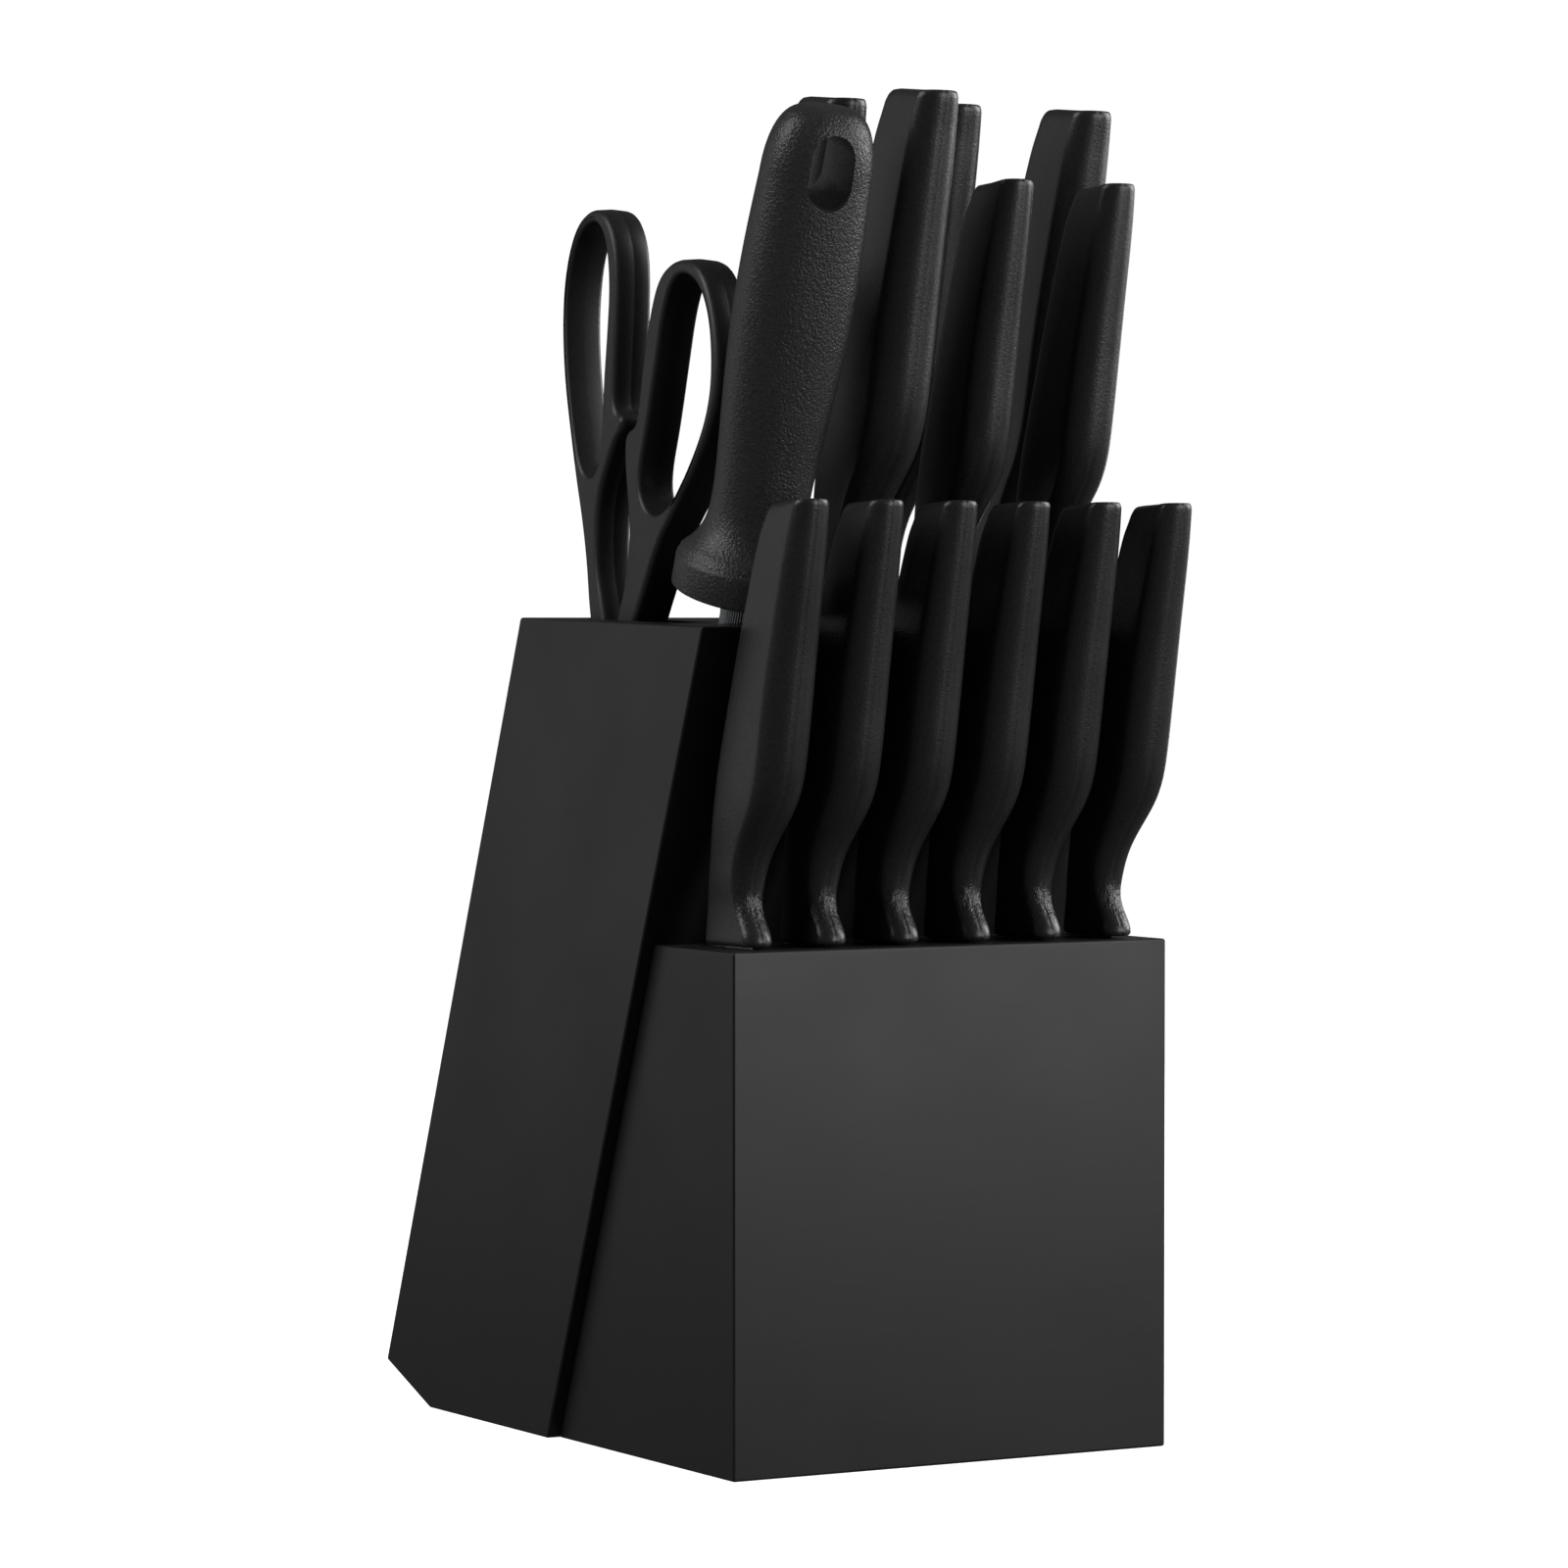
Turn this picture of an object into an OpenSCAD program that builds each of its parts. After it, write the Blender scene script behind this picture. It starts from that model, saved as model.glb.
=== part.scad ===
// Two-tier leaning knife block with twelve knives, a sharpening steel and kitchen shears.
// X runs across the block, +Y to the back, +Z up. The origin is under the middle of the whole
// set, on the surface that it stands on. Every slot leans back by block_lean.

/* [Front block] */
// Width of the front block
front_w = 120; // [112:1:150]
// Height of the front block
front_h = 123; // [115:1:150]
// Wood in front of the steak knife slots, at the top
front_wall = 8.5; // [5:0.5:8.5]
// Thickness of the board behind the steak knife slots
front_backing = 6; // [4:0.5:6]
// Distance between neighbouring steak knives
steak_pitch = 20; // [17:0.5:21]
// Middle of the steak handles, behind the front face
steak_row_y = 17; // [16.5:0.5:18]

/* [Rear block] */
// Width of the rear block
rear_w = 126.6; // [124:0.1:155]
// Height of the rear block at its back edge
rear_h = 200.5; // [190:0.5:245]
// Depth of the rear block, front to back
rear_depth = 92.7; // [90:0.1:112]
// Lean of the rear block and of all the knife slots, from upright
block_lean = 21.5; // [20:0.5:23]
// Fall of the rear block's top towards the front
deck_fall = 1.35; // [0:0.05:2]
// Top front edge of the rear block, behind the front block's front face
rear_front_y = 7.8; // [7:0.1:9]
// Length of the square cut under the back edge
heel_cut = 26.3; // [20:0.1:30]
// Wood in front of the front row of slots
rear_front_wall = 4.7; // [3:0.1:4.7]
// Length of the front row's slots along the top
front_slot_len = 25; // [25:0.5:26]
// Wood between the two rows of slots
row_divider = 3; // [1.5:0.5:3]
// Length of the back row's slots along the top
back_slot_len = 39.5; // [39.5:0.5:48]

/* [Knives] */
// Middle of the back row of handles, behind the front face
back_row_y = 61.2; // [60.5:0.1:62]
// Middle of the front row's large handle
carving_row_y = 25; // [24.5:0.1:25.5]
// Middle of the front row's two medium handles
medium_row_y = 26; // [25.5:0.1:26.5]
// Slicing knife, left or right of the middle
slicing_x = -19.8; // [-21.5:0.1:-19]
// Carving knife, left or right of the middle
carving_x = -16.7; // [-17.5:0.1:-15]
// Utility knife, left or right of the middle
utility_x = 11; // [10:0.1:12]
// Bread knife, left or right of the middle
bread_x = 12.2; // [10:0.1:13]
// Paring knife, left or right of the middle
paring_x = 39.6; // [38:0.1:40.5]
// Chef's knife, left or right of the middle
chef_x = 49.2; // [47:0.1:50]
// Blade thickness of the large knives
large_blade_t = 2; // [1.5:0.1:2.5]
// Blade thickness of the medium and steak knives
small_blade_t = 1.5; // [1:0.1:2]
// Free space on each side of a blade in its slot
slot_play = 0.5; // [0.3:0.05:0.8]
// Gap between a handle and the top that it sits on
foot_gap = 0.6; // [0.3:0.1:1]
// Large handle's size as a multiple of a steak handle's
large_scale = 1.19; // [1.1:0.005:1.2]
// Extra forward lean of the large handles
large_droop = 1; // [0:0.5:2]
// Length of a steak knife's handle, measured upright
handle_h = 104; // [95:0.5:110]

/* [Steel] */
// Middle of the steel, left or right of the middle
steel_x = -44.4; // [-45:0.1:-44.3]
// Middle of the steel at the top, behind the front face
steel_y = 24.6; // [24:0.1:25]
// Lean of the steel and its bore, from upright
steel_lean = 19; // [18.5:0.5:19.5]
// Diameter of the steel's rod
rod_d = 10; // [8:0.1:10.5]
// Length of the rod below the handle
rod_len = 190; // [150:1:195]
// Free space all round the rod in its bore
rod_play = 0.75; // [0.4:0.05:0.8]
// Length of the steel's handle with its guard
steel_handle_len = 118; // [112:1:122]
// Width of the hanging hole
hang_w = 10.5; // [8:0.5:11]
// Length of the hanging hole
hang_len = 17; // [14:0.5:19]
// Turn of the hanging hole from facing straight forward
hang_turn = 6; // [0:1:25]
// Half thickness of the steel's handle across its flats
steel_flat = 9.5; // [9:0.5:10.5]

/* [Shears] */
// Middle of the shears, left or right of the middle
shears_x = -44.6; // [-45:0.1:-44.4]
// Middle of the shears at the top, behind the front face
shears_y = 78.4; // [78:0.1:79]
// Thickness of the shears' handles
shears_t = 10; // [8:0.5:10]
// Lean of the shears, from upright
shears_lean = 11; // [10:0.5:12]
// Thickness of each shear blade
shear_blade_t = 2; // [1.5:0.1:2.5]
// Depth of the shears' pivot below the top
pivot_depth = 25; // [22:1:28]
// Length of the shear blades below the pivot
shear_blade_len = 92; // [80:1:95]
// Diameter of the pivot screw
pivot_d = 6; // [4:0.5:7]
// Radial clearance of the pivot screw in its holes
pivot_clear = 0.05; // [0.02:0.01:0.1]
// Free space on each side of the shears in their pocket
pocket_play = 2; // [1:0.25:2.5]
// Length of the pocket's mouth along the top
pocket_len = 50; // [49:0.5:51]
// Front edge of the pocket's mouth, behind the front face
pocket_y = 42; // [41:0.5:43]
// Depth of the pocket, measured upright
pocket_depth = 126; // [122:1:140]

/* [Hidden] */
STEAKS = 6;
FRONT_STAVES = STEAKS + 1;
ROW_STAVES = 4;
SIDE_GAP = 0.1;
large_names = ["slicing_knife", "carving_knife", "bread_knife", "chef_knife"];
medium_names = ["utility_knife", "paring_knife"];
steak_names = [for (i = [1:STEAKS]) str("steak_knife_", i)];
knife_names = concat(large_names, medium_names, steak_names);

wood = "#26272b";
plastic = "#2f3033";
blade_steel = "#b9bcc0";

t_lean = tan(block_lean);
rear_back_y = rear_front_y + rear_depth;

// A leaning plane is named by where it meets the ground: v = y + z * tan(block_lean).
function plane_v(y) = y + rear_h * t_lean;
function on_plane(v, z) = [v - z * t_lean, z];
// Height of the rear block's sloping top at a place behind the front face
function deck_z(y) = rear_h - (rear_back_y - y) * tan(deck_fall);
function deck_z_on(v) = (rear_h - (rear_back_y - v) * tan(deck_fall)) / (1 + t_lean * tan(deck_fall));
// The underside is flat as far as the heel, and then rises square to the lean.
v_front = plane_v(rear_front_y);
v_back = plane_v(rear_back_y);
v_heel = v_back - heel_cut / cos(block_lean);
function base_z(v) = max(0, v - v_heel) * sin(block_lean) * cos(block_lean);

// Leaning planes that bound the layers of the rear block
v_row1 = plane_v(rear_front_y + rear_front_wall);
v_div = v_row1 + front_slot_len;
v_row2 = v_div + row_divider;
v_rear = v_row2 + back_slot_len;

// Side outline of the layer between two leaning planes
function layer(va, vb) = concat(
    [on_plane(va, base_z(va))],
    (va < v_heel && v_heel < vb) ? [[v_heel, 0]] : [],
    [on_plane(vb, base_z(vb)), on_plane(vb, deck_z_on(vb)), on_plane(va, deck_z_on(va))]
);

// The handle: [height, front edge, back edge, thickness] above the middle of its foot, as
// measured on a steak knife. The belly stands out at two fifths of the height, over the
// finger notch.
handle_rings = [
    [0, -13, 7.7, 8], [6, -12, 7.5, 8], [14, -8.8, 5.6, 9], [21, -11.6, 3.6, 10.2],
    [27, -16.4, 1.8, 11.6], [32, -20.8, 0.2, 12.6], [38, -24.2, -1.6, 13.3], [45, -26.2, -3.7, 13.5],
    [57, -28.6, -7.6, 13.4], [78, -33, -14, 12.2], [98, -37.4, -20.8, 10.2],
    [104, -38.6, -23, 9]
];
RING_POINTS = 16;
handle_stretch = handle_h / 104;

// [half thickness, height] up the steel's handle from the underside of its guard
steel_profile = [
    [17.6, 0], [17.6, 8.5], [15.6, 11], [13, 15], [11.6, 20], [11.4, 26], [12.2, 38], [13.4, 52],
    [14.2, 70], [14, 88], [13.4, 101], [12, 110], [8.6, 115.6], [4, 117.8], [0, 118]
];
steel_stretch = steel_handle_len / 118;

// Front-most and back-most points of the whole set, behind the front block's front face
function knife_front(y, k, droop) = min([
    for (r = handle_rings) y + k * (r[1] - r[0] * handle_stretch * tan(droop))
]);
front_most = min(concat(
    [0],
    [for (y = [carving_row_y, back_row_y]) knife_front(y, large_scale, large_droop)],
    [knife_front(medium_row_y, 1, 0), knife_front(steak_row_y, 1, 0)],
    [for (p = steel_profile) steel_y - p[1] * steel_stretch * sin(steel_lean) - p[0] * cos(steel_lean)]
));
back_most = on_plane(v_back, base_z(v_back))[0];
y_shift = -(front_most + back_most) / 2;

// Moves a shape from the front block's front face to the set's own origin
module placed() {
    translate([0, y_shift, 0]) children();
}

// A side outline in Y and Z, from x0 to x1
module slab(x0, x1, outline) {
    translate([x0, 0, 0]) rotate([90, 0, 90]) linear_extrude(x1 - x0) polygon(outline);
}

module board(x0, x1, outline) {
    color(wood) placed() slab(x0, x1, outline);
}

// ---- Front block ----

v_steak_front = front_wall + front_h * t_lean;
v_steak_back = v_front - front_backing;
steak_slot_w = small_blade_t + 2 * slot_play;

function steak_x(i) = (i - (STEAKS + 1) / 2) * steak_pitch;
function front_layer(va, vb) =
    [[va, 0], [vb, 0], on_plane(vb, front_h), on_plane(va, front_h)];

module front_panel() {
    board(-front_w / 2, front_w / 2, [[0, 0], [v_steak_front, 0], [front_wall, front_h], [0, front_h]]);
}

module front_backing_board() {
    board(-front_w / 2, front_w / 2, front_layer(v_steak_back, v_front));
}

// Staves 1 to 7, left to right, with a steak knife's slot between each two
module front_stave(i) {
    x0 = i == 1 ? -front_w / 2 : steak_x(i - 1) + steak_slot_w / 2;
    x1 = i == FRONT_STAVES ? front_w / 2 : steak_x(i) - steak_slot_w / 2;
    board(x0, x1, front_layer(v_steak_front, v_steak_back));
}

// ---- Rear block ----

pocket_x0 = shears_x - shears_t / 2 - pocket_play;
pocket_x1 = shears_x + shears_t / 2 + pocket_play;
pocket_floor_z = rear_h - pocket_depth;
v_pocket = plane_v(pocket_y);
pocket_front_foot = on_plane(v_pocket, pocket_floor_z);
pocket_mouth_back = [pocket_y + pocket_len, deck_z(pocket_y + pocket_len)];
pocket_back_foot = [
    pocket_mouth_back[0] + (pocket_mouth_back[1] - pocket_floor_z) * tan(shears_lean),
    pocket_floor_z
];

// Point at a distance along the steel's own axis, up from the top of the block
module on_steel_axis() {
    translate([steel_x, steel_y, deck_z(steel_y)]) rotate([steel_lean, 0, 0]) children();
}

module left_cheek() {
    board(-rear_w / 2, pocket_x0, layer(v_front, v_back));
}

// Stave in front of the shears' pocket, bored for the steel
module steel_stave() {
    color(wood) placed() difference() {
        slab(pocket_x0, pocket_x1, layer(v_front, v_pocket));
        on_steel_axis()
            translate([0, 0, -rear_h * 1.3]) cylinder(d = rod_d + 2 * rod_play, h = rear_h * 1.5, $fn = 48);
    }
}

module pocket_back_stave() {
    board(pocket_x0, pocket_x1, [
        pocket_mouth_back, pocket_back_foot, [v_heel, 0],
        on_plane(v_back, base_z(v_back)), on_plane(v_back, deck_z_on(v_back))
    ]);
}

module pocket_floor() {
    board(pocket_x0, pocket_x1, [[v_pocket, 0], [v_heel, 0], pocket_back_foot, pocket_front_foot]);
}

module rear_front_board() {
    board(pocket_x1, rear_w / 2, layer(v_front, v_row1));
}

module row_divider_board() {
    board(pocket_x1, rear_w / 2, layer(v_div, v_row2));
}

module rear_back_board() {
    board(pocket_x1, rear_w / 2, layer(v_rear, v_back));
}

// The slots of a row, left to right: [place, blade thickness]
front_row = [[carving_x, large_blade_t], [utility_x, small_blade_t], [paring_x, small_blade_t]];
back_row = [[slicing_x, large_blade_t], [bread_x, large_blade_t], [chef_x, large_blade_t]];

function slot_side(s, side) = s[0] + side * (s[1] / 2 + slot_play);

module row_stave(i, row, va, vb) {
    x0 = i == 1 ? pocket_x1 : slot_side(row[i - 2], 1);
    x1 = i == ROW_STAVES ? rear_w / 2 : slot_side(row[i - 1], -1);
    board(x0, x1, layer(va, vb));
}

// ---- Knives ----

// [name, x, y, foot height, size, droop, blade thickness, spine, blade width, blade length, tip]
// Spine and width are measured square to the slot from the foot's middle. The tip is how far
// below the spine the point lies.
function knife(name, x, y, z, k, droop, t, spine, width, len, tip) =
    [name, x, y, z + foot_gap, k, droop, t, spine, width, len, tip];
function large_knife(name, x, y, spine, width, len, tip) =
    knife(name, x, y, deck_z(y), large_scale, large_droop, large_blade_t, spine, width, len, tip);
knives = concat(
    [
        large_knife("slicing_knife", slicing_x, back_row_y, 14, 27, 200, 3),
        large_knife("carving_knife", carving_x, carving_row_y, 10.3, 20.6, 190, 2),
        large_knife("bread_knife", bread_x, back_row_y, 15, 30, 200, 12),
        large_knife("chef_knife", chef_x, back_row_y, 17, 34, 200, 1),
        knife("utility_knife", utility_x, medium_row_y, deck_z(medium_row_y), 1, 0,
            small_blade_t, 9.5, 20, 140, 2),
        knife("paring_knife", paring_x, medium_row_y, deck_z(medium_row_y), 1, 0,
            small_blade_t, 9.5, 18.5, 90, 2)
    ],
    [for (i = [1:STEAKS]) knife(steak_names[i - 1], steak_x(i), steak_row_y, front_h, 1, 0,
        small_blade_t, 10, 18, 114, 4)]
);

function scaled_ring(r, k, droop) = let (h = r[0] * k * handle_stretch)
    [h, r[1] * k - h * tan(droop), r[2] * k - h * tan(droop), r[3] * k];

// One round-cornered cross-section of a handle
function ring_points(r) = let (
        half = r[3] / 2,
        corner = min(half * 0.62, (r[2] - r[1]) * 0.3)
    ) [
        for (c = [0:3], j = [0:3]) let (a = 90 * c + 30 * j) [
            (c == 0 || c == 3 ? 1 : -1) * (half - corner) + corner * cos(a),
            (c < 2 ? r[2] - corner : r[1] + corner) + corner * sin(a),
            r[0]
        ]
    ];

module handle_form(k, droop) {
    rings = [for (r = handle_rings) scaled_ring(r, k, droop)];
    n = RING_POINTS;
    last = (len(rings) - 1) * n;
    polyhedron(
        points = [for (r = rings) each ring_points(r)],
        faces = concat(
            [[for (j = [0:n - 1]) j]],
            [for (i = [0:len(rings) - 2], j = [0:n - 1]) let (a = i * n, b = (j + 1) % n)
                [a + j, a + n + j, a + n + b, a + b]],
            [[for (j = [n - 1:-1:0]) last + j]]
        )
    );
}

// The tang leans with the handle: half widths at its root and end, and its length
TANG_ROOT = 5;
TANG_END = 3.5;
TANG_LEN = 58;
TANG_LEAN = 14.5;

// Outline of the tang in Y and Z, from the middle of the foot
function tang_outline(k, droop) = let (
        h = TANG_LEN * k * handle_stretch,
        shift = -h * tan(TANG_LEAN + droop)
    ) [[TANG_ROOT * k, 0], [shift + TANG_END * k, h], [shift - TANG_END * k, h], [-TANG_ROOT * k, 0]];

// Outline of the blade below the foot: straight edge, curved up to the point, straight spine
function blade_outline(n) = let (
        c = cos(block_lean), s = sin(block_lean),
        spine = n[7], edge = n[7] - n[8], length = n[9],
        point_u = spine - n[10], belly = length * 0.62
    ) concat(
        [[edge / c, 0]],
        [for (a = [0:15:90]) let (
            u = edge + (point_u - edge) * (1 - cos(a)),
            w = belly + (length - belly) * sin(a)
        ) [u * c + w * s, u * s - w * c]],
        [let (w = length - 2.5 * n[10]) [spine * c + w * s, spine * s - w * c]],
        [[spine / c, 0]]
    );

module knife_handle(n) {
    color(plastic) placed() translate([n[1], n[2], n[3]]) difference() {
        handle_form(n[4], n[5]);
        slab(-n[6] / 2, n[6] / 2, tang_outline(n[4], n[5]));
    }
}

module knife_blade(n) {
    color(blade_steel) placed() translate([n[1], n[2], n[3]])
        slab(-n[6] / 2, n[6] / 2, concat(blade_outline(n), tang_outline(n[4], n[5])));
}

// ---- Sharpening steel ----

GUARD_GAP = 1.2;
ROD_SEAT = 62;
HANG_FROM_TOP = 13.7;
FLAT_START = 17;
FLAT_CUT = 10;

module steel_handle() {
    color(plastic) placed() on_steel_axis() translate([0, 0, GUARD_GAP + guard_tilt_rise]) difference() {
        rotate_extrude($fn = 64)
            polygon(concat([[0, 0]], [for (p = steel_profile) [p[0], p[1] * steel_stretch]]));
        translate([0, 0, -1]) cylinder(d = rod_d, h = ROD_SEAT + 1, $fn = 48);
        rotate([0, 0, -hang_turn]) hanging_cuts();
    }
}

// The hanging hole, and the two flats that it runs between
module hanging_cuts() {
    z = steel_handle_len - HANG_FROM_TOP;
    for (end = [-1, 1])
        translate([0, 0, z + end * (hang_len - hang_w) / 2]) rotate([90, 0, 0])
            cylinder(d = hang_w, h = 40, center = true, $fn = 48);
    translate([0, 0, z]) cube([hang_w, 40, hang_len - hang_w], center = true);
    for (y = [steel_flat, -steel_flat - FLAT_CUT])
        translate([-20, y, FLAT_START]) cube([40, FLAT_CUT, steel_handle_len]);
}

// The guard is square to the rod, so its back edge dips: it is raised to clear the sloping top.
guard_tilt_rise = steel_profile[0][0] * tan(steel_lean + deck_fall);

module steel_rod() {
    tip = rod_d / 4;
    color(blade_steel) placed() on_steel_axis() union() {
        translate([0, 0, -rod_len + tip])
            cylinder(d = rod_d, h = rod_len - tip + GUARD_GAP + guard_tilt_rise + ROD_SEAT, $fn = 48);
        translate([0, 0, -rod_len]) cylinder(d1 = rod_d / 2, d2 = rod_d, h = tip, $fn = 48);
    }
}

// ---- Shears ----

// Outlines in Y and Z from where the shears' axis meets the top of the block
front_loop = [
    [-2, 2], [-5, 7], [-8, 20], [-7, 28], [-5.4, 38], [-5.8, 45.5], [-11.4, 47], [-12.4, 51], [-15, 63],
    [-18.5, 74.5], [-22.5, 82], [-29, 85.6], [-37, 86], [-44.5, 83], [-50, 74], [-52.5, 63],
    [-52, 53], [-48.5, 45], [-42, 36.5], [-32, 26.5], [-23, 18], [-17, 8], [-13, 2], [-6, -10],
    [1.4, -10]
];
front_hole = [
    [-36, 82.4], [-43, 79], [-47.4, 71], [-48.6, 61], [-47.6, 52], [-43, 43], [-34, 32.5], [-27, 26.5],
    [-19.5, 24.5], [-14, 29], [-13.6, 35.5], [-17.6, 46], [-22, 61], [-25.6, 73.5], [-30, 81]
];
back_loop = [
    [13, 2], [14.2, 13], [16.6, 24], [20, 35], [23, 47], [25.6, 58], [26.8, 69.5], [26.4, 79.5],
    [24, 89.6], [19, 97.4], [11.5, 100.8], [4, 99.4], [-0.8, 93.8], [-2.8, 86.6], [-2.6, 75],
    [-1.4, 63], [-0.4, 50.5], [-5.2, 49.6], [-5.2, 46], [-1, 43], [3.4, 36], [6.8, 30], [8.2, 22],
    [8, 12], [4.6, 2], [2.2, -10], [9.6, -10]
];
back_hole = [
    [11.4, 97.2], [17.4, 94.2], [21.8, 86.6], [23.6, 77.5], [23.4, 67], [22, 56], [19.4, 45],
    [16.6, 37], [12, 34.4], [7.8, 37.4], [6, 44.6], [5.2, 57], [3.4, 69], [2, 81], [3.4, 91.4], [7, 96.2]
];
front_tang = [[-1, -10], [-4.6, 2], [-9.6, 13], [-14.6, 13], [-8.6, 2], [-4.6, -10]];
back_tang = [[8, -10], [11, 2], [12.6, 18], [9.6, 18], [7.4, 2], [4.6, -10]];
SHEAR_GAP = 0.2;
BOSS_R = 8;
SCREW_HEAD_R = 5;
SCREW_HEAD_H = 1.8;
pivot_yz = [pivot_depth * tan(shears_lean), -pivot_depth];

module on_shears() {
    translate([shears_x, shears_y, deck_z(shears_y)]) children();
}

module shear_handle(outline, hole, tang, side) {
    color(plastic) placed() on_shears() difference() {
        slab(-shears_t / 2, shears_t / 2, outline);
        slab(-shears_t, shears_t, hole);
        shear_plate(side) polygon(tang);
    }
}

// A plate on one side of the shears' middle plane
module shear_plate(side) {
    x0 = side < 0 ? -SHEAR_GAP / 2 - shear_blade_t : SHEAR_GAP / 2;
    translate([x0, 0, 0]) rotate([90, 0, 90]) linear_extrude(shear_blade_t) children();
}

// Half of the shears below the pivot, with its spine on the given side of the axis
function shear_blade_points(side) = [
    for (p = [[3.6, 0], [3.4, -62], [0.6, -92], [-1, -92], [-4.4, -70], [-7, -30], [-8, 0]])
        let (u = side * p[0], w = p[1] * shear_blade_len / 92) [
            pivot_yz[0] + u * cos(shears_lean) - w * sin(shears_lean),
            pivot_yz[1] + u * sin(shears_lean) + w * cos(shears_lean)
        ]
];

module shear_blade(tang, side) {
    neck = [tang[0], tang[len(tang) - 1]];
    color(blade_steel) placed() on_shears() difference() {
        union() {
            shear_plate(side) polygon(tang);
            shear_plate(side) translate(pivot_yz) circle(r = BOSS_R, $fn = 48);
            shear_plate(side) polygon([
                neck[0], neck[1],
                pivot_yz + [-BOSS_R * 0.9, 0], pivot_yz + [0, -1], pivot_yz + [BOSS_R * 0.9, 0]
            ]);
            shear_plate(side) polygon(shear_blade_points(-side));
        }
        translate([-shears_t, pivot_yz[0], pivot_yz[1]]) rotate([0, 90, 0])
            cylinder(d = pivot_d + 2 * pivot_clear, h = 2 * shears_t, $fn = 48);
    }
}

module shears_pivot_screw() {
    reach = SHEAR_GAP / 2 + shear_blade_t + SIDE_GAP;
    color(blade_steel) placed() on_shears() translate([0, pivot_yz[0], pivot_yz[1]]) rotate([0, 90, 0])
        union() {
            cylinder(d = pivot_d, h = 2 * (reach + SCREW_HEAD_H), center = true, $fn = 48);
            for (end = [-1, 1])
                translate([0, 0, end * (reach + SCREW_HEAD_H / 2)])
                    cylinder(r = SCREW_HEAD_R, h = SCREW_HEAD_H, center = true, $fn = 48);
        }
}

front_panel();
front_backing_board();
for (i = [1:FRONT_STAVES]) {
    front_stave(i);
}
left_cheek();
steel_stave();
pocket_back_stave();
pocket_floor();
rear_front_board();
row_divider_board();
rear_back_board();
for (i = [1:ROW_STAVES]) {
    row_stave(i, front_row, v_row1, v_div);
    row_stave(i, back_row, v_row2, v_rear);
}
for (n = knives) {
    knife_handle(n);
    knife_blade(n);
}
steel_handle();
steel_rod();
shear_handle(front_loop, front_hole, front_tang, 1);  // shears_front_handle
shear_handle(back_loop, back_hole, back_tang, -1);  // shears_back_handle
shear_blade(front_tang, 1);  // shears_front_blade
shear_blade(back_tang, -1);  // shears_back_blade
shears_pivot_screw();
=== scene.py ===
"""Knife block with knives: the visual model built round the CAD frame.

Pieces are worked out in millimetres in the frame's axes (+X right, +Y back, +Z up), and their
places come from the boxes of the CAD nodes. The knife slots lean forward by LEAN from upright.
"""
import math

import bmesh
import bpy
import numpy as np
from bpy.props import FloatProperty, FloatVectorProperty, PointerProperty
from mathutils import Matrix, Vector
from mathutils.geometry import tessellate_polygon


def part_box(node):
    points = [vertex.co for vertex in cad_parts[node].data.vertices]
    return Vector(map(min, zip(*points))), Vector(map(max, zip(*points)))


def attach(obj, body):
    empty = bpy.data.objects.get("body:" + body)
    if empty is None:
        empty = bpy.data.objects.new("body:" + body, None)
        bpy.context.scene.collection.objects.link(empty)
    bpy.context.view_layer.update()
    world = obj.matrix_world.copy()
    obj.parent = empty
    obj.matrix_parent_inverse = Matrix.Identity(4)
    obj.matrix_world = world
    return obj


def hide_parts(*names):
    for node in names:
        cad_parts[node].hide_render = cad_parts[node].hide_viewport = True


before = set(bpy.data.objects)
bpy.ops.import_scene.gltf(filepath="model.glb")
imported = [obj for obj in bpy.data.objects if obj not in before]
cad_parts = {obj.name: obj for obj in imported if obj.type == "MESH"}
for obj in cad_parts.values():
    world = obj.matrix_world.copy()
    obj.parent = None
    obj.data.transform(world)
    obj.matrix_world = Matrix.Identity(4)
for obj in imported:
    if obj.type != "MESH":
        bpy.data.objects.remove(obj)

bl_info = {
    "name": "Knife Block Set",
    "version": (1, 0, 0),
    "blender": (4, 5, 0),
    "location": "View3D > Sidebar > Knife Block",
    "description": "Builds a leaning knife block with its knives, sharpening steel and shears",
    "category": "Object",
}

MM = 0.001
# Metres between points that are taken as one
MERGE = 2e-6
LEAN = math.radians(21.5)
LARGE_KNIVES = ("slicing_knife", "carving_knife", "bread_knife", "chef_knife")
SMALL_KNIVES = ("utility_knife", "paring_knife") + tuple(f"steak_knife_{i}" for i in range(1, 7))
FRONT_BOARDS = ["front_panel", "front_backing_board"] + [f"front_stave_{i}" for i in range(1, 8)]
REAR_BOARDS = (
    ["left_cheek", "steel_stave", "pocket_back_stave", "pocket_floor"]
    + ["rear_front_board", "row_divider_board", "rear_back_board"]
    + [f"{row}_row_stave_{i}" for row in ("front", "back") for i in range(1, 5)]
)

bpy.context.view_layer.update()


# ---- Sizes and places ----

def box_mm(node):
    """Lowest and highest corner of a CAD node in millimetres."""
    low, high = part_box(node)
    return np.array(low) / MM, np.array(high) / MM


def linear(code):
    """Linear colour of an sRGB hex value: below 0.04045 a straight line, above it a power."""
    srgb = np.array([int(code[i:i + 2], 16) for i in (1, 3, 5)]) / 255
    return tuple(np.where(srgb <= 0.04045, srgb / 12.92, ((srgb + 0.055) / 1.055) ** 2.4))


def smooth_step(values):
    """0 below 0, 1 above 1 and the cubic 3v2 - 2v3 between."""
    v = np.clip(values, 0, 1)
    return v * v * (3 - 2 * v)


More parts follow.
